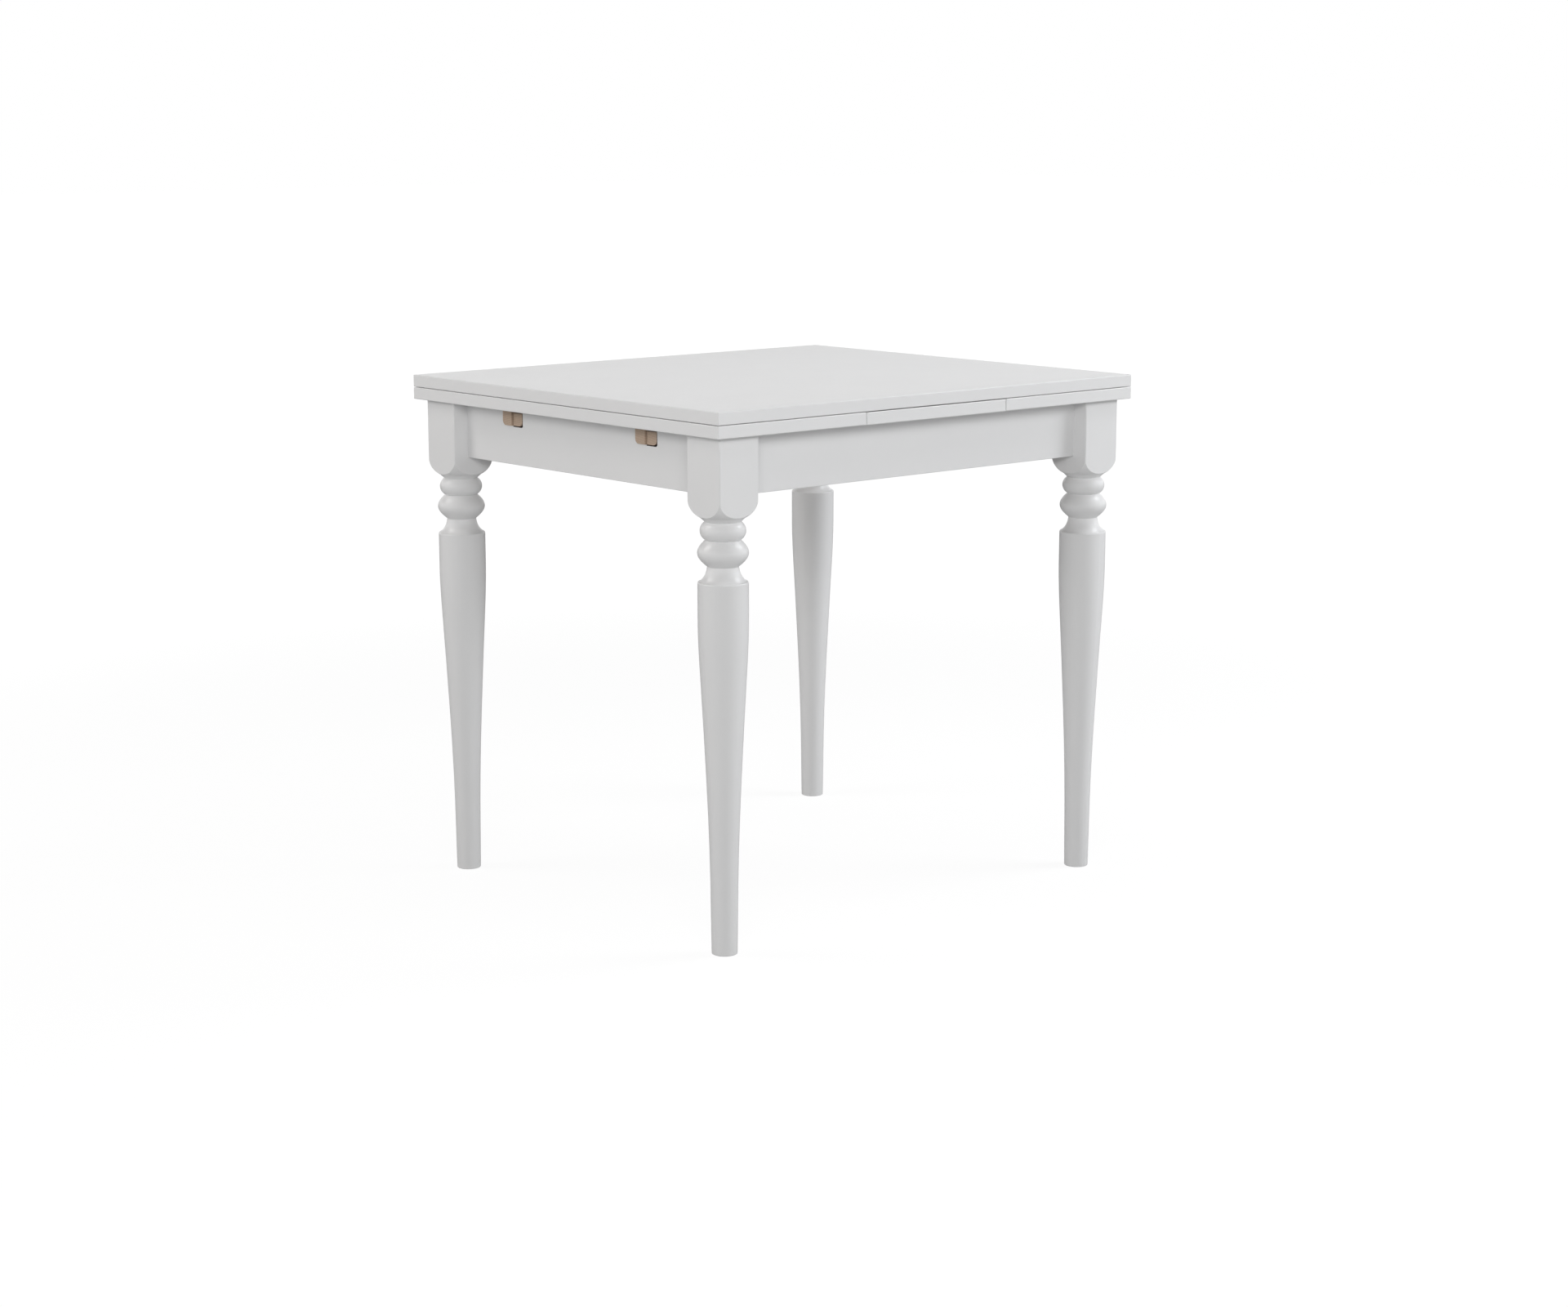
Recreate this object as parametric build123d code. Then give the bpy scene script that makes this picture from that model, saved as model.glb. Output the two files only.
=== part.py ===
from build123d import *
import math
import os

# A draw-leaf dining table with its leaves closed. Lengths are in millimetres.
# +Z is up, +X runs along the draw of the leaves, and -Y is the near long side.
# The origin is the centre of the footprint, on the floor.

# Overall size
TOP_LENGTH = 800.0
TOP_WIDTH = 700.0
TABLE_HEIGHT = 750.0
HALF_LENGTH = TOP_LENGTH / 2
HALF_WIDTH = TOP_WIDTH / 2

# Boards: the top, and under it the two leaves with the fixed centre board between them
BOARD_THICKNESS = 17.5
BOARD_EDGE_ROUND = 1.3
CENTRE_BOARD_LENGTH = 270.0
LEAF_JOINT_GAP = 1.0
TOP_TO_LEAF_GAP = 0.7
LEAF_TO_FRAME_GAP = 0.4
LEAF_TRAVEL = 265.0

TOP_UNDERSIDE = TABLE_HEIGHT - BOARD_THICKNESS
LEAF_UNDERSIDE = TOP_UNDERSIDE - TOP_TO_LEAF_GAP - BOARD_THICKNESS
FRAME_TOP = LEAF_UNDERSIDE - LEAF_TO_FRAME_GAP
CENTRE_BOARD_TOP = FRAME_TOP + BOARD_THICKNESS
LEAF_INNER_EDGE = CENTRE_BOARD_LENGTH / 2 + LEAF_JOINT_GAP

# Aprons
APRON_INSET = 38.0
APRON_THICKNESS = 19.0
APRON_HEIGHT = 82.4
APRON_EDGE_ROUND = 1.0
APRON_BOTTOM = FRAME_TOP - APRON_HEIGHT
APRON_OUTER_X = HALF_LENGTH - APRON_INSET
APRON_OUTER_Y = HALF_WIDTH - APRON_INSET
APRON_INNER_X = APRON_OUTER_X - APRON_THICKNESS
APRON_INNER_Y = APRON_OUTER_Y - APRON_THICKNESS
APRON_MIDDLE_Y = APRON_OUTER_Y - APRON_THICKNESS / 2

# Legs: a square block above a turned shaft
LEG_INSET = 48.0
LEG_X = HALF_LENGTH - LEG_INSET
LEG_Y = HALF_WIDTH - LEG_INSET
BLOCK_SIZE = 68.0
BLOCK_EDGE_ROUND = 2.0
BLOCK_BOTTOM = 597.6
BLOCK_NECK_RADIUS = 24.5
POMMEL_CENTRE = (18.0, 630.5)
POMMEL_RADIUS = 30.0
POMMEL_SWEEP = 65.0
BLOCK_CHAMFER = 12.0
BLOCK_CHAMFER_BOTTOM = 640.0

FOOT_RADIUS = 17.8
FOOT_EDGE_ROUND = 1.2
SHAFT_CURVE = ((FOOT_RADIUS, FOOT_EDGE_ROUND), (19.5, 120.0), (24.6, 257.0), (31.4, 385.0), (34.5, 470.0))
SHAFT_RADIUS = 34.5
SHOULDER_HEIGHT = 517.0
SHOULDER_ROUND = 2.6
NECK = (21.3, 537.0)
LARGE_RING_CREST = (34.7, 554.8)
LARGE_RING_FLANK = 0.8
RING_VALLEY = (23.7, 573.0)
SMALL_RING_CREST = (31.2, 584.3)

# Runners, two under each leaf, side by side in pairs with those of the other leaf
RUNNER_WIDTH = 21.0
RUNNER_PITCH = 21.6
RUNNER_PAIR_Y = 153.5
PAIR_HALF_WIDTH = (RUNNER_PITCH + RUNNER_WIDTH) / 2
FRONT_RUNNER_Y = RUNNER_PITCH / 2 - RUNNER_PAIR_Y
BACK_RUNNER_Y = RUNNER_PITCH / 2 + RUNNER_PAIR_Y
RUNNER_BOTTOM = LEAF_UNDERSIDE - 26.3
RUNNER_EDGE_ROUND = 7.0
RUNNER_HEAD_X = APRON_OUTER_X + 3.0
RUNNER_TAIL_X = APRON_OUTER_X
RUNNER_STEP = 1.0
RUNNER_TAIL_HEIGHT = 18.0

# Notches that the runners pass through
HEAD_SLOT_CLEARANCE = 0.35
TAIL_SLOT_FLOOR_GAP = 1.6
TAIL_SLOT_SIDE_GAP = 1.8
TAIL_SLOT_CORNER = 3.0
RAIL_SLOT_CLEARANCE = 0.5

# Centre cross rail
RAIL_THICKNESS = 20.0
RAIL_BOTTOM = 650.0

# Pins, dowels and pads
DOWEL_RADIUS = 4.0
LEG_DOWEL_DEPTH = 25.0
LEG_DOWEL_HEIGHTS = (652.0, 694.0)
RAIL_DOWEL_IN_APRON = 14.0
RAIL_DOWEL_IN_RAIL = 20.0
RAIL_DOWEL_HEIGHTS = (664.0, 698.0)
STOP_PEG_DROP = 12.0
STOP_GAP = 0.4
PAD_RADIUS = 10.0
PAD_THICKNESS = 1.0
PAD_X = 105.0
PAD_ROWS_Y = (-310.0, 0.0, 310.0)

# Guide pegs that hold the loose top in place
PEG_RADIUS = 10.0
PEG_SITES = ((-60.0, -240.0), (60.0, 240.0))
PEG_SOCKET_DEPTH = 8.0
PEG_HOLE_CLEARANCE = 0.6
TOP_LIFT = 30.0
PEG_BOTTOM = FRAME_TOP - TOP_LIFT - STOP_GAP
PEG_WASHER_RADIUS = 18.0
PEG_WASHER_THICKNESS = 2.5

# Corner brackets and the hanger bolts through them
BRACKET_REACH = 76.0
BRACKET_FLANGE = 30.0
BRACKET_THICKNESS = 2.0
BRACKET_HEIGHT = 50.0
BRACKET_MIDDLE_Z = 672.0
BRACKET_SCREW_SPACING = 30.0
BRACKET_CORNER = APRON_INNER_X - LEG_X
BRACKET_FACE = (BRACKET_REACH - 2 * BRACKET_CORNER) / math.sqrt(2)
BLOCK_CHAMFER_FACE = (BLOCK_SIZE - BLOCK_CHAMFER) / math.sqrt(2)
INWARD = Vector(-1, -1, 0).normalized()
HANGER_RADIUS = 4.0
HANGER_IN_LEG = 35.0
HANGER_BEYOND_BRACKET = 15.0
HANGER_WASHER_RADIUS = 9.0
HANGER_WASHER_THICKNESS = 1.5
HANGER_NUT_ACROSS_FLATS = 13.0
HANGER_NUT_THICKNESS = 6.5

# Wood screws
SCREW_RADIUS = 2.25
SCREW_HEAD_RADIUS = 4.4
SCREW_HEAD_HEIGHT = 2.6
DRIVE_WIDTH = 0.9
DRIVE_LENGTH = 4.4
DRIVE_DEPTH = 1.4
RUNNER_SCREW_X = (165.0, 250.0, 335.0)
RUNNER_SCREW_LENGTH = 38.0
BOARD_SCREW_SITES = ((-95.0, -APRON_MIDDLE_Y), (95.0, -APRON_MIDDLE_Y), (0.0, -70.0),
                     (0.0, 70.0), (-95.0, APRON_MIDDLE_Y), (95.0, APRON_MIDDLE_Y))
BOARD_SCREW_LENGTH = 45.0
BRACKET_SCREW_LENGTH = 16.0
PEG_SCREW_LENGTH = 30.0

# Each corner of the table: name, side of X, side of Y, and turn from the back right corner
CORNERS = (("back_right", 1, 1, 0), ("back_left", -1, 1, 90),
           ("front_left", -1, -1, 180), ("front_right", 1, -1, 270))


def block_between(x_range, y_range, z_range):
    """A plain box between two limits on each axis."""
    size = [high - low for low, high in (x_range, y_range, z_range)]
    middle = [(high + low) / 2 for low, high in (x_range, y_range, z_range)]
    return Pos(*middle) * Box(*size)


def eased_board(x_range, y_range, z_range, edge_round):
    """A board whose edges are all slightly rounded."""
    board = block_between(x_range, y_range, z_range)
    return fillet(board.edges(), edge_round)


def rod(radius, start, end):
    """A round rod between two points."""
    start = Vector(*start)
    along = Vector(*end) - start
    seat = Plane(origin=start, z_dir=along)
    return extrude(seat * Circle(radius), along.length)


def half_turn(shape):
    """The same shape turned half way round the table's upright middle axis."""
    return Rot(0, 0, 180) * shape


def countersunk_screw(head, direction, length, recess):
    """A countersunk wood screw, its flat head face centred on head, with or without its recess."""
    profile = Polyline((0, 0), (SCREW_HEAD_RADIUS, 0), (SCREW_HEAD_RADIUS, 0.4),
                       (SCREW_RADIUS, SCREW_HEAD_HEIGHT), (SCREW_RADIUS, length - 4),
                       (0.3, length), (0, length), close=True)
    screw = revolve(Plane.XZ * make_face(profile), Axis.Z)
    if recess:
        screw -= cross_drive()
    return Plane(origin=head, z_dir=direction) * screw


def pan_head_screw(seat, direction, length):
    """A pan-head screw whose head rests on seat and whose shank runs along direction."""
    shank = extrude(Circle(SCREW_RADIUS), length - 4)
    tip = Pos(0, 0, length - 4) * Cone(SCREW_RADIUS, 0.3, 4, align=(Align.CENTER, Align.CENTER, Align.MIN))
    head = extrude(Circle(SCREW_HEAD_RADIUS), -SCREW_HEAD_HEIGHT)
    head = fillet(head.edges().sort_by(Axis.Z)[0], 1.2)
    drive = Pos(0, 0, -SCREW_HEAD_HEIGHT) * cross_drive()
    return Plane(origin=seat, z_dir=direction) * (shank + tip + head - drive)


def cross_drive():
    """The cross-shaped recess of a screw head, cut from z = 0 upwards."""
    bar = Box(DRIVE_LENGTH, DRIVE_WIDTH, 2 * DRIVE_DEPTH)
    return bar + Rot(0, 0, 90) * bar


def leg_shaft():
    """The turned part of a leg, from the foot up to the block."""
    foot = Polyline((0, 0), (FOOT_RADIUS - FOOT_EDGE_ROUND, 0))
    foot_edge = RadiusArc(foot @ 1, SHAFT_CURVE[0], -FOOT_EDGE_ROUND)
    body = Spline(*SHAFT_CURVE, tangents=((0.02, 1), (0, 1)))
    barrel = Line(body @ 1, (SHAFT_RADIUS, SHOULDER_HEIGHT - SHOULDER_ROUND))
    arris = RadiusArc(barrel @ 1, (SHAFT_RADIUS - SHOULDER_ROUND, SHOULDER_HEIGHT), -SHOULDER_ROUND)
    flare = Spline(arris @ 1, NECK, tangents=((-1, 0.7), (-0.12, 1)))
    large_ring = Spline(NECK, LARGE_RING_CREST, RING_VALLEY,
                        tangents=((1, LARGE_RING_FLANK), (-1, LARGE_RING_FLANK)))
    small_ring = ThreePointArc(RING_VALLEY, SMALL_RING_CREST, (BLOCK_NECK_RADIUS, BLOCK_BOTTOM))
    close = Polyline((BLOCK_NECK_RADIUS, BLOCK_BOTTOM), (0, BLOCK_BOTTOM), (0, 0))
    outline = foot + foot_edge + body + barrel + arris + flare + large_ring + small_ring + close
    return revolve(Plane.XZ * make_face(outline), Axis.Z)


def leg_block():
    """The square block, with its lower corners turned to a round."""
    half = BLOCK_SIZE / 2
    block = block_between((-half, half), (-half, half), (BLOCK_BOTTOM, FRAME_TOP))
    block = fillet(block.edges().filter_by(Axis.Z), BLOCK_EDGE_ROUND)
    pommel = CenterArc(POMMEL_CENTRE, POMMEL_RADIUS, -POMMEL_SWEEP, POMMEL_SWEEP)
    widest = pommel @ 1
    rest = Polyline(widest, (widest.X, FRAME_TOP), (0, FRAME_TOP), (0, BLOCK_BOTTOM),
                    (BLOCK_NECK_RADIUS, BLOCK_BOTTOM), pommel @ 0)
    turned = revolve(Plane.XZ * make_face(pommel + rest), Axis.Z)
    block = block & turned
    corner = Pos(-half, -half, 0) * Rot(0, 0, 45) * Box(math.sqrt(2) * BLOCK_CHAMFER,
                                                        math.sqrt(2) * BLOCK_CHAMFER,
                                                        2 * (FRAME_TOP - BLOCK_CHAMFER_BOTTOM))
    return block - Pos(0, 0, FRAME_TOP) * corner


def at_corner(shape, corner):
    """Place a shape made for the back right corner at any corner of the table.

    Shapes are drawn about the leg's own axis, with the table's middle towards -X and -Y.
    """
    name, side_x, side_y, turn = corner
    return Pos(side_x * LEG_X, side_y * LEG_Y, 0) * Rot(0, 0, turn) * shape


def corner_dowels():
    """The dowels that join one leg to its two aprons, about the leg's axis."""
    face = -BLOCK_SIZE / 2
    middle = APRON_MIDDLE_Y - LEG_Y
    dowels = []
    for height in LEG_DOWEL_HEIGHTS:
        dowels.append(rod(DOWEL_RADIUS, (face - LEG_DOWEL_DEPTH, middle, height),
                          (face + LEG_DOWEL_DEPTH, middle, height)))
        dowels.append(rod(DOWEL_RADIUS, (middle, face - LEG_DOWEL_DEPTH, height),
                          (middle, face + LEG_DOWEL_DEPTH, height)))
    return dowels


def along_hanger(distance):
    """A point on the hanger bolt's axis, that far from the leg's axis towards the table's middle."""
    step = -distance / math.sqrt(2)
    return Vector(step, step, BRACKET_MIDDLE_Z)


def hanger_bolt():
    """The stud that runs from the leg's chamfered corner through the bracket."""
    start = BLOCK_CHAMFER_FACE - HANGER_IN_LEG
    end = BRACKET_FACE + BRACKET_THICKNESS + HANGER_BEYOND_BRACKET
    return rod(HANGER_RADIUS, along_hanger(start), along_hanger(end))


def hanger_washer():
    """The washer between the bracket and the nut."""
    seat = Plane(origin=along_hanger(BRACKET_FACE + BRACKET_THICKNESS), z_dir=INWARD)
    ring = Circle(HANGER_WASHER_RADIUS) - Circle(HANGER_RADIUS)
    return extrude(seat * ring, HANGER_WASHER_THICKNESS)


def hanger_nut():
    """The hexagon nut that pulls the leg into its corner."""
    start = BRACKET_FACE + BRACKET_THICKNESS + HANGER_WASHER_THICKNESS
    seat = Plane(origin=along_hanger(start), z_dir=INWARD)
    hexagon = RegularPolygon(HANGER_NUT_ACROSS_FLATS / 2, 6, major_radius=False)
    return extrude(seat * (hexagon - Circle(HANGER_RADIUS)), HANGER_NUT_THICKNESS)


def bracket_screws():
    """The screws that hold one bracket's two flanges to the aprons, about the leg's axis."""
    seat = BRACKET_CORNER - BRACKET_THICKNESS
    middle = BRACKET_CORNER - BRACKET_REACH - BRACKET_FLANGE / 2
    screws = []
    for side in (-1, 1):
        height = BRACKET_MIDDLE_Z + side * BRACKET_SCREW_SPACING / 2
        screws.append(pan_head_screw((middle, seat, height), (0, 1, 0), BRACKET_SCREW_LENGTH))
        screws.append(pan_head_screw((seat, middle, height), (1, 0, 0), BRACKET_SCREW_LENGTH))
    return screws


def corner_bracket():
    """A bent steel strip: a flange on each apron and a web across the corner."""
    thickness = BRACKET_THICKNESS
    corner = BRACKET_CORNER
    bend = corner - BRACKET_REACH
    end = bend - BRACKET_FLANGE
    inner_bend = bend - thickness * math.tan(math.radians(45 / 2))
    inner = corner - thickness
    outline = Polyline((end, corner), (bend, corner), (corner, bend), (corner, end), (inner, end),
                       (inner, inner_bend), (inner_bend, inner), (end, inner), close=True)
    strip = extrude(make_face(outline), BRACKET_HEIGHT)
    strip = Pos(0, 0, BRACKET_MIDDLE_Z - BRACKET_HEIGHT / 2) * strip
    return strip - [hanger_bolt()] - bracket_screws()


def leg():
    """One leg about its own axis, bored for its dowels and hanger bolt."""
    return leg_shaft() + leg_block() - corner_dowels() - [hanger_bolt()]


def at_corners(make_shapes):
    """What make_shapes returns for one corner, placed at all four."""
    return [at_corner(shape, corner) for corner in CORNERS for shape in make_shapes()]


def slot(pair_y, reach, floor, corner_round):
    """A notch cutter along X, from the middle of a runner pair to reach, open at the top."""
    low_y, high_y = sorted((pair_y, pair_y + reach))
    cutter = block_between((-HALF_LENGTH, HALF_LENGTH), (low_y, high_y), (floor, TABLE_HEIGHT))
    lower_edges = cutter.edges().filter_by(Axis.X).group_by(Axis.Z)[0].sort_by(Axis.Y)
    outer_edge = lower_edges[-1] if reach > 0 else lower_edges[0]
    return fillet(outer_edge, corner_round)


def end_apron_slots(head_side):
    """The notch cutters for one end apron.

    Each notch takes two runners. The head of this end's own leaf is on head_side in Y
    and close to the floor, and the tail from the other leaf is beside it with a gap.
    """
    cutters = []
    for pair_y in (-RUNNER_PAIR_Y, RUNNER_PAIR_Y):
        cutters.append(slot(pair_y, head_side * (PAIR_HALF_WIDTH + HEAD_SLOT_CLEARANCE),
                            RUNNER_BOTTOM - HEAD_SLOT_CLEARANCE, RUNNER_EDGE_ROUND))
        cutters.append(slot(pair_y, -head_side * (PAIR_HALF_WIDTH + TAIL_SLOT_SIDE_GAP),
                            RUNNER_BOTTOM - TAIL_SLOT_FLOOR_GAP, TAIL_SLOT_CORNER))
    return cutters


def end_apron(side):
    """The apron under one end of the table, with its two notches."""
    x_range = sorted((side * APRON_INNER_X, side * APRON_OUTER_X))
    half_span = LEG_Y - BLOCK_SIZE / 2
    apron = block_between(x_range, (-half_span, half_span), (APRON_BOTTOM, FRAME_TOP))
    apron = fillet(apron.edges().filter_by(Axis.Y).group_by(Axis.Z)[0], APRON_EDGE_ROUND)
    return apron - end_apron_slots(-side) - at_corners(corner_dowels) - at_corners(bracket_screws)


def side_apron(side):
    """The apron under one long side of the table."""
    y_range = sorted((side * APRON_INNER_Y, side * APRON_OUTER_Y))
    half_span = LEG_X - BLOCK_SIZE / 2
    apron = block_between((-half_span, half_span), y_range, (APRON_BOTTOM, FRAME_TOP))
    apron = fillet(apron.edges().filter_by(Axis.X).group_by(Axis.Z)[0], APRON_EDGE_ROUND)
    apron = apron - at_corners(corner_dowels) - at_corners(bracket_screws)
    return apron - rail_dowels() - centre_board_screws()


def rail_dowels():
    """The dowels that join the centre cross rail to the side aprons."""
    dowels = []
    for side in (-1, 1):
        for height in RAIL_DOWEL_HEIGHTS:
            dowels.append(rod(DOWEL_RADIUS, (0, side * (APRON_INNER_Y - RAIL_DOWEL_IN_RAIL), height),
                              (0, side * (APRON_INNER_Y + RAIL_DOWEL_IN_APRON), height)))
    return dowels


def centre_cross_rail():
    """The rail under the centre board that guides all four runners."""
    half = RAIL_THICKNESS / 2
    rail = block_between((-half, half), (-APRON_INNER_Y, APRON_INNER_Y), (RAIL_BOTTOM, FRAME_TOP))
    reach = PAIR_HALF_WIDTH + RAIL_SLOT_CLEARANCE
    for pair_y in (-RUNNER_PAIR_Y, RUNNER_PAIR_Y):
        rail -= block_between((-half, half), (pair_y - reach, pair_y + reach),
                              (RUNNER_BOTTOM - RAIL_SLOT_CLEARANCE, FRAME_TOP))
    return rail - rail_dowels() - centre_board_screws()


def centre_board_screws(recess=False):
    """The screws down through the centre board into the side aprons and the cross rail."""
    return [countersunk_screw((x, y, CENTRE_BOARD_TOP), (0, 0, -1), BOARD_SCREW_LENGTH, recess)
            for x, y in BOARD_SCREW_SITES]


def centre_board():
    """The fixed board between the two leaves."""
    half = CENTRE_BOARD_LENGTH / 2
    board = eased_board((-half, half), (-HALF_WIDTH, HALF_WIDTH), (FRAME_TOP, CENTRE_BOARD_TOP),
                        BOARD_EDGE_ROUND)
    hole = PEG_RADIUS + PEG_HOLE_CLEARANCE
    holes = [rod(hole, (x, y, FRAME_TOP), (x, y, CENTRE_BOARD_TOP)) for x, y in PEG_SITES]
    return board - holes - centre_board_screws()


def felt_pads():
    """The felt discs on the centre board that the top lies on."""
    return [rod(PAD_RADIUS, (x, y, CENTRE_BOARD_TOP), (x, y, CENTRE_BOARD_TOP + PAD_THICKNESS))
            for x in (-PAD_X, PAD_X) for y in PAD_ROWS_Y]


def runner_screws(y, recess=False):
    """The screws up through one runner of the left leaf."""
    return [countersunk_screw((-x, y, RUNNER_BOTTOM), (0, 0, 1), RUNNER_SCREW_LENGTH, recess)
            for x in RUNNER_SCREW_X]


def stop_peg(y):
    """The peg through a runner's tail that meets the cross rail when the leaf is right out."""
    x = RAIL_THICKNESS / 2 + LEAF_TRAVEL + STOP_GAP + DOWEL_RADIUS
    return rod(DOWEL_RADIUS, (x, y, RUNNER_BOTTOM - STOP_PEG_DROP),
               (x, y, RUNNER_BOTTOM + RUNNER_TAIL_HEIGHT))


def leaf_runner(y):
    """One runner of the left leaf: full height under the leaf, then tapering to its tail."""
    tail_top = RUNNER_BOTTOM + RUNNER_TAIL_HEIGHT
    outline = Polyline((-RUNNER_HEAD_X, RUNNER_BOTTOM), (RUNNER_TAIL_X, RUNNER_BOTTOM),
                       (RUNNER_TAIL_X, tail_top), (LEAF_TRAVEL - LEAF_INNER_EDGE, tail_top),
                       (-LEAF_INNER_EDGE, LEAF_UNDERSIDE - RUNNER_STEP),
                       (-LEAF_INNER_EDGE, LEAF_UNDERSIDE), (-RUNNER_HEAD_X, LEAF_UNDERSIDE), close=True)
    runner = Pos(0, y, 0) * extrude(Plane.XZ * make_face(outline), RUNNER_WIDTH / 2, both=True)
    outer_edge = runner.edges().filter_by(Axis.X).group_by(Axis.Z)[0].sort_by(Axis.Y)[-1]
    runner = fillet(outer_edge, RUNNER_EDGE_ROUND)
    return runner - runner_screws(y) - [stop_peg(y)]


def left_leaf_board():
    """The left leaf itself."""
    board = eased_board((-HALF_LENGTH, -LEAF_INNER_EDGE), (-HALF_WIDTH, HALF_WIDTH),
                        (LEAF_UNDERSIDE, LEAF_UNDERSIDE + BOARD_THICKNESS), BOARD_EDGE_ROUND)
    return board - runner_screws(FRONT_RUNNER_Y) - runner_screws(BACK_RUNNER_Y)


def guide_pegs():
    """The two turned pegs glued into the underside of the top."""
    return [rod(PEG_RADIUS, (x, y, PEG_BOTTOM), (x, y, TOP_UNDERSIDE + PEG_SOCKET_DEPTH))
            for x, y in PEG_SITES]


def peg_screws():
    """The screws up into the guide pegs."""
    return [pan_head_screw((x, y, PEG_BOTTOM - PEG_WASHER_THICKNESS), (0, 0, 1), PEG_SCREW_LENGTH)
            for x, y in PEG_SITES]


def peg_washers():
    """The washers that stop the top from lifting off its frame."""
    return [rod(PEG_WASHER_RADIUS, (x, y, PEG_BOTTOM - PEG_WASHER_THICKNESS), (x, y, PEG_BOTTOM))
            - peg_screws() for x, y in PEG_SITES]


def top_panel():
    """The loose top."""
    board = eased_board((-HALF_LENGTH, HALF_LENGTH), (-HALF_WIDTH, HALF_WIDTH),
                        (TOP_UNDERSIDE, TABLE_HEIGHT), BOARD_EDGE_ROUND)
    return board - guide_pegs()


def left_leaf_pieces():
    """Every piece that moves with the left leaf, by short name."""
    rows = (FRONT_RUNNER_Y, BACK_RUNNER_Y)
    return {
        "board": [left_leaf_board()],
        "runner_front": [leaf_runner(FRONT_RUNNER_Y)],
        "runner_back": [leaf_runner(BACK_RUNNER_Y)],
        "runner_screws": [screw for y in rows for screw in runner_screws(y, recess=True)],
        "stop_pegs": [stop_peg(y) for y in rows],
    }


def table_pieces():
    """Every node of the table: its name and its solids."""
    pieces = {
        "top_panel": [top_panel()],
        "top_guide_pegs": [peg - peg_screws() for peg in guide_pegs()],
        "top_peg_washers": peg_washers(),
        "top_peg_screws": peg_screws(),
        "top_felt_pads": felt_pads(),
        "centre_board": [centre_board()],
        "centre_board_screws": centre_board_screws(recess=True),
        "centre_cross_rail": [centre_cross_rail()],
        "cross_rail_dowels": rail_dowels(),
        "side_apron_front": [side_apron(-1)],
        "side_apron_back": [side_apron(1)],
        "end_apron_left": [end_apron(-1)],
        "end_apron_right": [end_apron(1)],
        "leg_dowels": at_corners(corner_dowels),
        "corner_bracket_screws": at_corners(bracket_screws),
        "hanger_bolts": at_corners(lambda: [hanger_bolt()]),
        "hanger_washers": at_corners(lambda: [hanger_washer()]),
        "hanger_nuts": at_corners(lambda: [hanger_nut()]),
    }
    for corner in CORNERS:
        pieces["leg_" + corner[0]] = [at_corner(leg(), corner)]
        pieces["corner_bracket_" + corner[0]] = [at_corner(corner_bracket(), corner)]
    swapped = {"runner_front": "runner_back", "runner_back": "runner_front"}
    for name, shapes in left_leaf_pieces().items():
        pieces["leaf_left_" + name] = shapes
        pieces["leaf_right_" + swapped.get(name, name)] = [half_turn(shape) for shape in shapes]
    return pieces


os.makedirs("parts", exist_ok=True)
for node, shapes in table_pieces().items():
    solids = [solid for shape in shapes for solid in shape.solids()]
    export_step(solids[0] if len(solids) == 1 else Compound(solids), f"parts/{node}.step")
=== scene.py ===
import math

import bpy
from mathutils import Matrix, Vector


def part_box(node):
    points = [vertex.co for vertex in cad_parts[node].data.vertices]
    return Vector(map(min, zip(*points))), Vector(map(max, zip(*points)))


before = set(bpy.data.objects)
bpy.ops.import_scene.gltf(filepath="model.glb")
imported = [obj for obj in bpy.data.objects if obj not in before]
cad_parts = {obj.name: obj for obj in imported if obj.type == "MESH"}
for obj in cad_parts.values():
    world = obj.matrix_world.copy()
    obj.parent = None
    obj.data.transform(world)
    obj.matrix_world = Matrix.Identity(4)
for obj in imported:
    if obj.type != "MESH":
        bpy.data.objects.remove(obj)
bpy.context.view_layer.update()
scene = bpy.context.scene

# ---------------------------------------------------------------- node helpers


def new_material(name):
    """A material with nodes, and its Principled shader."""
    material = bpy.data.materials.new(name)
    material.use_nodes = True
    return material, material.node_tree.nodes["Principled BSDF"]


def add(material, kind, **settings):
    """A new node in the material; keywords set its attributes."""
    node = material.node_tree.nodes.new(kind)
    for key, value in settings.items():
        setattr(node, key, value)
    return node


def link(material, output, target):
    """Joins an output socket to an input socket."""
    material.node_tree.links.new(output, target)


def stretched(material, scale):
    """The object's own coordinates, in metres, multiplied axis by axis."""
    coords = add(material, "ShaderNodeTexCoord")
    mapping = add(material, "ShaderNodeMapping")
    mapping.inputs["Scale"].default_value = scale
    link(material, coords.outputs["Object"], mapping.inputs["Vector"])
    return mapping.outputs["Vector"]


def noise(material, vector, scale, detail=4.0, roughness=0.5):
    """Soft random values around a half; scale is in patches per metre."""
    node = add(material, "ShaderNodeTexNoise")
    node.inputs["Scale"].default_value = scale
    node.inputs["Detail"].default_value = detail
    node.inputs["Roughness"].default_value = roughness
    link(material, vector, node.inputs["Vector"])
    return node.outputs["Fac"]


def spread(material, value, low, high, from_low=0.35, from_high=0.65):
    """A value stretched from one range to another."""
    node = add(material, "ShaderNodeMapRange")
    node.inputs["From Min"].default_value = from_low
    node.inputs["From Max"].default_value = from_high
    node.inputs["To Min"].default_value = low
    node.inputs["To Max"].default_value = high
    link(material, value, node.inputs["Value"])
    return node.outputs["Result"]


# The Mix node has sockets of the same name for each kind of data, so its colour ones go by number
MIX_FIRST_COLOUR = 6
MIX_SECOND_COLOUR = 7
MIX_COLOUR_RESULT = 2


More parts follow.
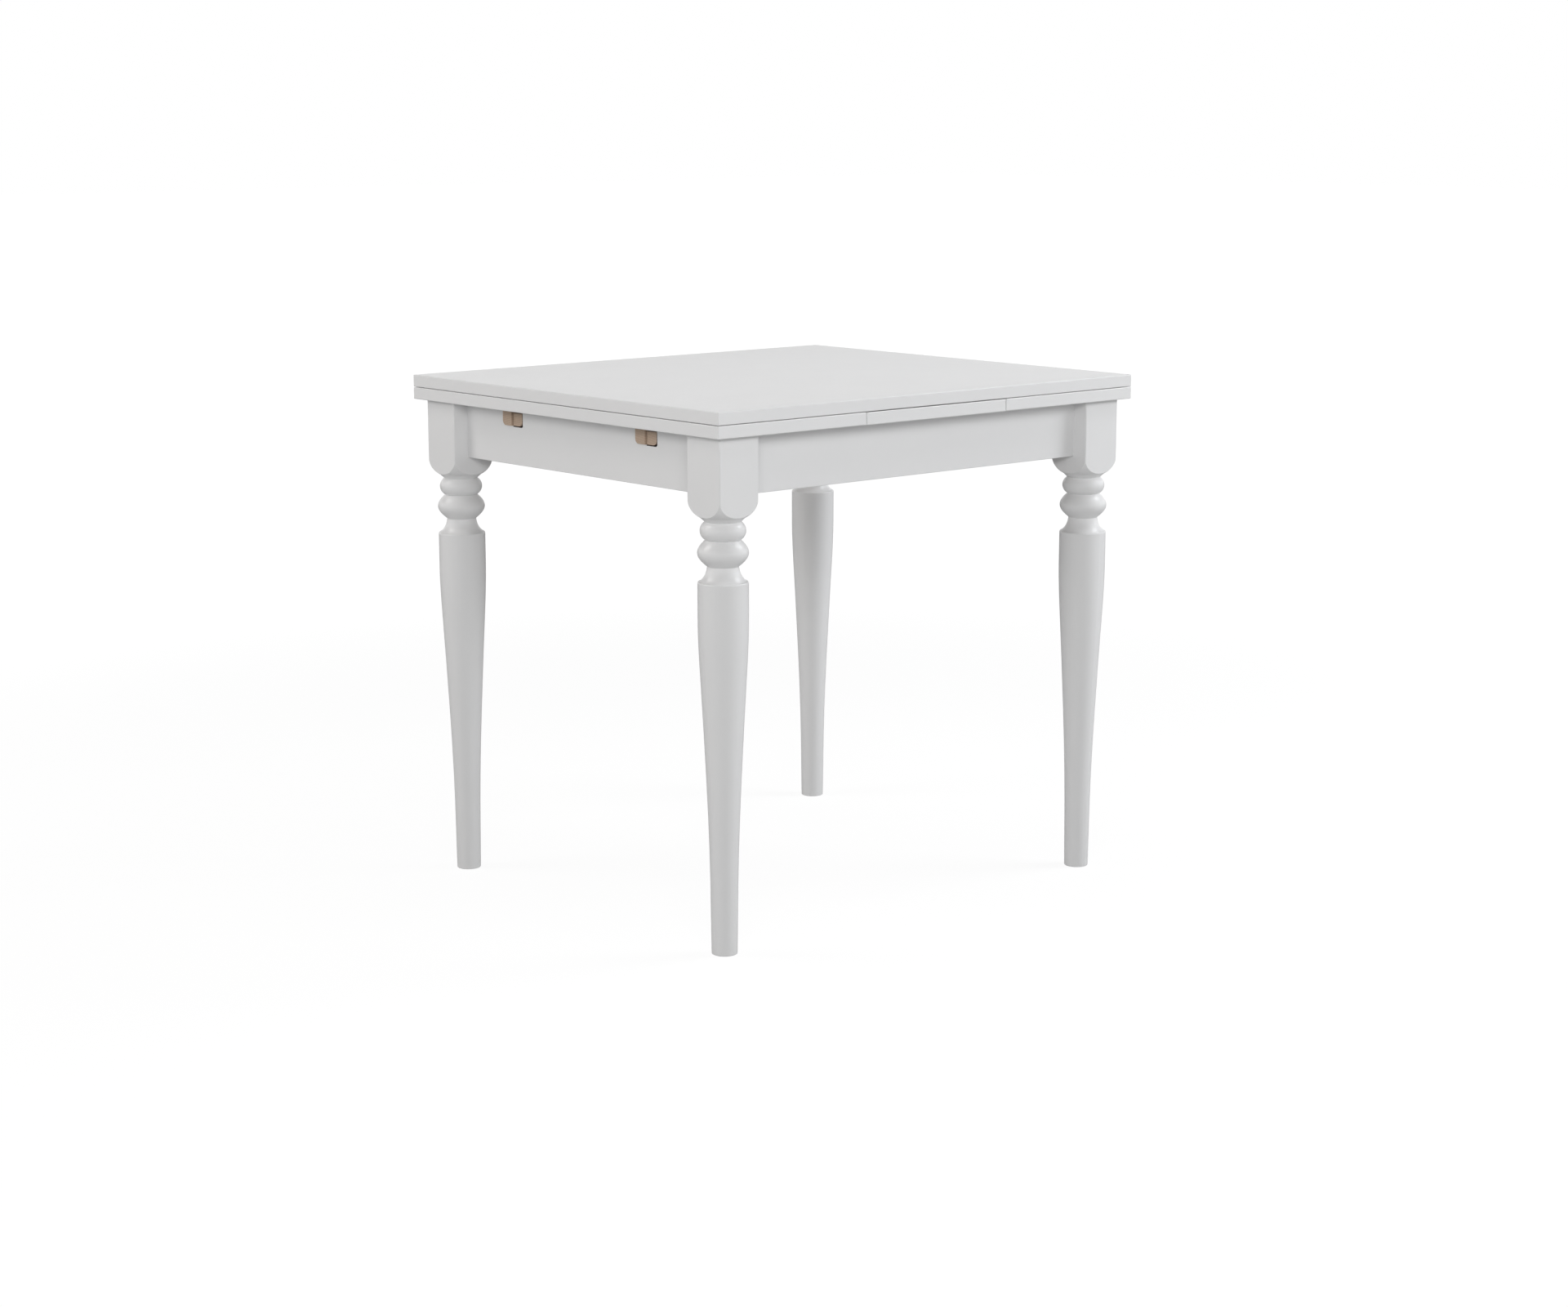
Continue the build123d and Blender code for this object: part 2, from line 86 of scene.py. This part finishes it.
def blend_colours(material, factor, first, second):
    """The first colour where the factor is 0 and the second where it is 1; each a tuple or an output."""
    node = add(material, "ShaderNodeMix", data_type="RGBA")
    link(material, factor, node.inputs["Factor"])
    for number, colour in ((MIX_FIRST_COLOUR, first), (MIX_SECOND_COLOUR, second)):
        if isinstance(colour, tuple):
            node.inputs[number].default_value = (*colour, 1.0)
        else:
            link(material, colour, node.inputs[number])
    return node.outputs[MIX_COLOUR_RESULT]


def bump(material, height, strength, distance, under=None):
    """A surface raised by the height, on top of an earlier bump if under is given."""
    node = add(material, "ShaderNodeBump")
    node.inputs["Strength"].default_value = strength
    node.inputs["Distance"].default_value = distance
    link(material, height, node.inputs["Height"])
    if under is not None:
        link(material, under, node.inputs["Normal"])
    return node.outputs["Normal"]


def calculate(material, operation, first, second=None):
    """The result of a Math node; second is a number or another node's output."""
    node = add(material, "ShaderNodeMath", operation=operation)
    link(material, first, node.inputs[0])
    if isinstance(second, float):
        node.inputs[1].default_value = second
    elif second is not None:
        link(material, second, node.inputs[1])
    return node.outputs["Value"]


UNSTRETCHED = (1.0, 1.0, 1.0)
# Scales that draw a noise out along one axis, as wood grain runs along a board
ALONG = {"X": (1.0, 12.0, 12.0), "Y": (12.0, 1.0, 12.0), "Z": (12.0, 12.0, 1.0)}

# ---------------------------------------------------------------- materials

PAINT_LIGHT = (0.798, 0.798, 0.798)
PAINT_DARK = (0.790, 0.790, 0.791)
LACQUER_ROUGHNESS = (0.275, 0.295)
CLOUD_SCALE = 9.0
SHEEN_SCALE = 38.0
PAINTED_GRAIN_SCALE = 42.0
SPRAY_SCALE = 620.0


def white_lacquer(name, grain):
    """Satin white paint on wood: a faint spray texture over a trace of the grain below."""
    material, shader = new_material(name)
    plain = stretched(material, UNSTRETCHED)
    cloudy = noise(material, plain, CLOUD_SCALE, detail=3.0)
    colour = blend_colours(material, spread(material, cloudy, 0.0, 1.0), PAINT_LIGHT, PAINT_DARK)
    link(material, colour, shader.inputs["Base Color"])
    sheen_patches = noise(material, plain, SHEEN_SCALE, detail=5.0)
    link(material, spread(material, sheen_patches, *LACQUER_ROUGHNESS), shader.inputs["Roughness"])
    along_grain = stretched(material, ALONG[grain])
    grain_lines = noise(material, along_grain, PAINTED_GRAIN_SCALE, detail=6.0, roughness=0.6)
    spray = noise(material, plain, SPRAY_SCALE, detail=2.0)
    raised = bump(material, grain_lines, strength=0.05, distance=0.0002)
    raised = bump(material, spray, strength=0.04, distance=0.0001, under=raised)
    link(material, raised, shader.inputs["Normal"])
    return material


# Bare wood inside the notches, made far darker than beech: painted shade in the recess.
NOTCH_BARE_WOOD_AND_SHADE_COLOUR = (0.06, 0.042, 0.033)
CUT_MARGIN = 0.0004
CUT_REACH = 0.002


def notched_lacquer(name, grain):
    """The lacquer of an end apron, with bare wood inside the notches for the runners, coloured nearly
    black as painted shade in those recesses.

    The table is symmetrical, so distances from its middle serve both ends and both notches.
    """
    material = white_lacquer(name, grain)
    apron_low, apron_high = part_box("end_apron_right")
    runners = [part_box("leaf_left_runner_back"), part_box("leaf_right_runner_back")]
    pair_start = min(low.y for low, high in runners)
    pair_end = max(high.y for low, high in runners)
    runner_bottom = min(low.z for low, high in runners)
    coords = add(material, "ShaderNodeTexCoord")
    split = add(material, "ShaderNodeSeparateXYZ")
    link(material, coords.outputs["Object"], split.inputs["Vector"])
    outwards = calculate(material, "ABSOLUTE", split.outputs["X"])
    sideways = calculate(material, "ABSOLUTE", split.outputs["Y"])
    conditions = (
        calculate(material, "GREATER_THAN", sideways, pair_start - CUT_REACH),
        calculate(material, "LESS_THAN", sideways, pair_end + CUT_REACH),
        calculate(material, "GREATER_THAN", split.outputs["Z"], runner_bottom - CUT_REACH),
    )
    in_notch = calculate(material, "LESS_THAN", outwards, apron_high.x - CUT_MARGIN)
    for condition in conditions:
        in_notch = calculate(material, "MULTIPLY", in_notch, condition)
    base = material.node_tree.nodes["Principled BSDF"].inputs["Base Color"]
    paint = base.links[0].from_socket
    # Painted shade: the notch walls get the nearly black bare-wood colour.
    link(material, blend_colours(material, in_notch, paint, NOTCH_BARE_WOOD_AND_SHADE_COLOUR), base)
    return material


BEECH_LIGHT = (0.56, 0.43, 0.33)
BEECH_DARK = (0.44, 0.33, 0.245)
BEECH_FLECK = (0.30, 0.215, 0.155)
BEECH_HEART = (0.031, 0.047, 0.052)
RING_SCALE = 95.0
RING_WAVER = 5.0
RING_DETAIL = 3.0
RING_DETAIL_SCALE = 0.06
BEECH_ROUGHNESS = (0.58, 0.72)
STREAK_SCALE = 30.0
FLECK_SCALE = 75.0


def beech(name, grain):
    """Bare beech: soft growth rings seen end on and as streaks, with short dark flecks."""
    material, shader = new_material(name)
    coords = add(material, "ShaderNodeTexCoord")
    place = add(material, "ShaderNodeMapping")
    place.inputs["Location"].default_value = BEECH_HEART
    link(material, coords.outputs["Object"], place.inputs["Vector"])
    rings = add(material, "ShaderNodeTexWave", wave_type="RINGS", rings_direction=grain)
    rings.inputs["Scale"].default_value = RING_SCALE
    rings.inputs["Distortion"].default_value = RING_WAVER
    rings.inputs["Detail"].default_value = RING_DETAIL
    rings.inputs["Detail Scale"].default_value = RING_DETAIL_SCALE
    link(material, place.outputs["Vector"], rings.inputs["Vector"])
    streaks = noise(material, stretched(material, ALONG[grain]), STREAK_SCALE, detail=6.0, roughness=0.65)
    ring_share = spread(material, rings.outputs["Fac"], 0.15, 0.75, from_low=0.0, from_high=1.0)
    ringed = blend_colours(material, ring_share, BEECH_LIGHT, BEECH_DARK)
    streaked = blend_colours(material, spread(material, streaks, 0.0, 0.55), ringed, BEECH_DARK)
    flecks = noise(material, stretched(material, ALONG[grain]), FLECK_SCALE, detail=2.0)
    fleck_share = spread(material, flecks, 0.0, 0.7, from_low=0.66, from_high=0.74)
    flecked = blend_colours(material, fleck_share, streaked, BEECH_FLECK)
    link(material, flecked, shader.inputs["Base Color"])
    link(material, spread(material, streaks, *BEECH_ROUGHNESS), shader.inputs["Roughness"])
    link(material, bump(material, streaks, strength=0.25, distance=0.0004), shader.inputs["Normal"])
    return material


ZINC_LIGHT = (0.66, 0.67, 0.68)
ZINC_DARK = (0.50, 0.50, 0.47)
ZINC_ROUGHNESS = (0.28, 0.50)
MOTTLE_SCALE = 160.0
SCRATCH_SCALE = 240.0
SCRATCH_STRETCH = (1.0, 1.0, 30.0)


def zinc_steel(name):
    """Zinc-plated steel: mottled plating with fine scratches."""
    material, shader = new_material(name)
    plain = stretched(material, UNSTRETCHED)
    mottle = noise(material, plain, MOTTLE_SCALE, detail=4.0)
    colour = blend_colours(material, spread(material, mottle, 0.0, 1.0), ZINC_LIGHT, ZINC_DARK)
    link(material, colour, shader.inputs["Base Color"])
    shader.inputs["Metallic"].default_value = 1.0
    scratches = noise(material, stretched(material, SCRATCH_STRETCH), SCRATCH_SCALE, detail=3.0)
    link(material, spread(material, scratches, *ZINC_ROUGHNESS), shader.inputs["Roughness"])
    link(material, bump(material, scratches, strength=0.15, distance=0.0002), shader.inputs["Normal"])
    return material


FELT_LIGHT = (0.085, 0.080, 0.076)
FELT_DARK = (0.035, 0.033, 0.031)
FIBRE_SCALE = 1500.0


def felt(name):
    """Pressed grey felt with loose fibres."""
    material, shader = new_material(name)
    plain = stretched(material, UNSTRETCHED)
    fibres = noise(material, plain, FIBRE_SCALE, detail=6.0, roughness=0.7)
    colour = blend_colours(material, spread(material, fibres, 0.0, 1.0), FELT_LIGHT, FELT_DARK)
    link(material, colour, shader.inputs["Base Color"])
    shader.inputs["Roughness"].default_value = 0.95
    shader.inputs["Sheen Weight"].default_value = 0.4
    link(material, bump(material, fibres, strength=0.6, distance=0.0003), shader.inputs["Normal"])
    return material


LACQUER = {axis: white_lacquer("white_lacquer_grain_" + axis.lower(), axis) for axis in "XYZ"}
BEECH = {axis: beech("beech_grain_" + axis.lower(), axis) for axis in "XYZ"}
NOTCHED_LACQUER = notched_lacquer("notched_lacquer", "Y")
ZINC = zinc_steel("zinc_plated_steel")
FELT = felt("grey_felt")

NODE_MATERIALS = {
    "top_panel": LACQUER["X"],
    "centre_board": LACQUER["Y"],
    "leaf_left_board": LACQUER["Y"],
    "leaf_right_board": LACQUER["Y"],
    "side_apron_front": LACQUER["X"],
    "side_apron_back": LACQUER["X"],
    "end_apron_left": NOTCHED_LACQUER,
    "end_apron_right": NOTCHED_LACQUER,
    "leg_back_right": LACQUER["Z"],
    "leg_back_left": LACQUER["Z"],
    "leg_front_left": LACQUER["Z"],
    "leg_front_right": LACQUER["Z"],
    "centre_cross_rail": BEECH["Y"],
    "cross_rail_dowels": BEECH["Y"],
    "leg_dowels": BEECH["Z"],
    "top_guide_pegs": BEECH["Z"],
    "leaf_left_stop_pegs": BEECH["Z"],
    "leaf_right_stop_pegs": BEECH["Z"],
    "leaf_left_runner_front": BEECH["X"],
    "leaf_left_runner_back": BEECH["X"],
    "leaf_right_runner_front": BEECH["X"],
    "leaf_right_runner_back": BEECH["X"],
    "top_felt_pads": FELT,
}
for node_name, cad_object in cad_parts.items():
    cad_object.data.materials.clear()
    cad_object.data.materials.append(NODE_MATERIALS.get(node_name, ZINC))

# ---------------------------------------------------------------- floor, light and camera

FLOOR_SIZE = 60.0
FLOOR_COLOUR = (0.90, 0.90, 0.90, 1.0)
FLOOR_GLOW = 1.05
FLOOR_SHADOW_SHARE = 0.13
SHADOW_FADE_START = 1.2
SHADOW_FADE_END = 3.5
FLOOR_BOUNCE_COLOUR = (0.30, 0.30, 0.30, 1.0)
FLOOR_BOUNCE_GLOW = 0.14

LIGHT_AIM_HEIGHT = 0.45
# The low panels don't show in reflections: seen from opposite, they would turn the table's top white.
LOW_PANEL = {"height": 1.5, "distance": 3.0, "size": (1.4, 0.6), "reflects": False}
HIGH_PANEL = {"height": 2.6, "distance": 2.4, "size": (1.2, 1.2), "reflects": True}
OVERHEAD_PANEL = {"height": 3.0, "distance": 0.01, "size": (1.6, 1.6), "reflects": True}
COOL_LIGHT = (0.962, 0.978, 1.0)
WARM_LIGHT = (1.0, 0.975, 0.955)
NEUTRAL_LIGHT = (1.0, 1.0, 1.0)

CAMERA_LENS = 65.69
CAMERA_PLACE = (-2.7869, -3.1884, 1.1469)
CAMERA_TILT = 79.078
CAMERA_TURN = -41.385

WALL_TOP = 0.26
DARK_CEILING = 0.50


def floor_material():
    """A floor that looks nearly white, with a trace of shadow near the table.

    It lights the table only as strongly as a mid-grey floor would.
    """
    material, bounce = new_material("pale_floor")
    bounce.inputs["Base Color"].default_value = FLOOR_BOUNCE_COLOUR
    bounce.inputs["Roughness"].default_value = 1.0
    bounce.inputs["Specular IOR Level"].default_value = 0.0
    bounce.inputs["Emission Color"].default_value = (1.0, 1.0, 1.0, 1.0)
    bounce.inputs["Emission Strength"].default_value = FLOOR_BOUNCE_GLOW
    shaded = add(material, "ShaderNodeBsdfDiffuse")
    shaded.inputs["Color"].default_value = FLOOR_COLOUR
    glow = add(material, "ShaderNodeEmission")
    glow.inputs["Strength"].default_value = FLOOR_GLOW
    coords = add(material, "ShaderNodeTexCoord")
    distance = add(material, "ShaderNodeVectorMath", operation="LENGTH")
    link(material, coords.outputs["Object"], distance.inputs[0])
    share = add(material, "ShaderNodeMapRange", interpolation_type="SMOOTHSTEP")
    share.inputs["From Min"].default_value = SHADOW_FADE_START
    share.inputs["From Max"].default_value = SHADOW_FADE_END
    share.inputs["To Min"].default_value = FLOOR_SHADOW_SHARE
    share.inputs["To Max"].default_value = 0.0
    link(material, distance.outputs["Value"], share.inputs["Value"])
    seen = add(material, "ShaderNodeMixShader")
    link(material, share.outputs["Result"], seen.inputs[0])
    link(material, glow.outputs["Emission"], seen.inputs[1])
    link(material, shaded.outputs["BSDF"], seen.inputs[2])
    path = add(material, "ShaderNodeLightPath")
    final = add(material, "ShaderNodeMixShader")
    link(material, path.outputs["Is Camera Ray"], final.inputs[0])
    link(material, bounce.outputs["BSDF"], final.inputs[1])
    link(material, seen.outputs["Shader"], final.inputs[2])
    link(material, final.outputs["Shader"], material.node_tree.nodes["Material Output"].inputs["Surface"])
    return material


def make_floor():
    """One large square, centred under the table."""
    half = FLOOR_SIZE / 2
    mesh = bpy.data.meshes.new("studio_floor")
    corners = [(-half, -half, 0), (half, -half, 0), (half, half, 0), (-half, half, 0)]
    mesh.from_pydata(corners, [], [(0, 1, 2, 3)])
    mesh.materials.append(floor_material())
    floor = bpy.data.objects.new("studio_floor", mesh)
    scene.collection.objects.link(floor)


def make_surroundings():
    """White walls all round, darkening upwards to a black ceiling.

    WALL_TOP and DARK_CEILING are the height parts of directions of length 1.
    """
    world = bpy.data.worlds.new("white_studio")
    world.use_nodes = True
    scene.world = world
    tree = world.node_tree
    coords = tree.nodes.new("ShaderNodeTexCoord")
    split = tree.nodes.new("ShaderNodeSeparateXYZ")
    strength = tree.nodes.new("ShaderNodeMapRange")
    strength.inputs["From Min"].default_value = WALL_TOP
    strength.inputs["From Max"].default_value = DARK_CEILING
    strength.inputs["To Min"].default_value = 1.0
    strength.inputs["To Max"].default_value = 0.0
    background = tree.nodes["Background"]
    background.inputs["Color"].default_value = (1.0, 1.0, 1.0, 1.0)
    tree.links.new(coords.outputs["Generated"], split.inputs["Vector"])
    tree.links.new(split.outputs["Z"], strength.inputs["Value"])
    tree.links.new(strength.outputs["Result"], background.inputs["Strength"])


def softbox(name, panel, azimuth, watts, colour):
    """A soft light panel facing the table; azimuth 0 is at -Y and 90 at +X."""
    light = bpy.data.lights.new(name, "AREA")
    light.color = colour
    light.shape = "RECTANGLE"
    light.size, light.size_y = panel["size"]
    light.energy = watts
    lamp = bpy.data.objects.new(name, light)
    scene.collection.objects.link(lamp)
    lamp.visible_glossy = panel["reflects"]
    turn = math.radians(azimuth)
    distance = panel["distance"]
    lamp.location = (distance * math.sin(turn), -distance * math.cos(turn), panel["height"])
    facing = Vector((0.0, 0.0, LIGHT_AIM_HEIGHT)) - lamp.location
    lamp.rotation_euler = facing.to_track_quat("-Z", "Y").to_euler()


def make_camera():
    """The camera, standing off the near left corner and looking slightly down."""
    camera_data = bpy.data.cameras.new("camera")
    camera_data.lens = CAMERA_LENS
    camera = bpy.data.objects.new("camera", camera_data)
    scene.collection.objects.link(camera)
    camera.location = CAMERA_PLACE
    camera.rotation_euler = (math.radians(CAMERA_TILT), 0.0, math.radians(CAMERA_TURN))
    scene.camera = camera


make_floor()
make_surroundings()
softbox("right_softbox", LOW_PANEL, azimuth=50.0, watts=29.5, colour=COOL_LIGHT)
softbox("left_softbox", LOW_PANEL, azimuth=-120.0, watts=10.5, colour=WARM_LIGHT)
softbox("front_softbox", LOW_PANEL, azimuth=-41.0, watts=24.0, colour=NEUTRAL_LIGHT)
softbox("high_right_softbox", HIGH_PANEL, azimuth=60.0, watts=26.0, colour=COOL_LIGHT)
softbox("high_left_softbox", HIGH_PANEL, azimuth=-130.0, watts=19.0, colour=WARM_LIGHT)
softbox("overhead_softbox", OVERHEAD_PANEL, azimuth=0.0, watts=12.5, colour=NEUTRAL_LIGHT)
make_camera()
scene.view_settings.view_transform = "Standard"
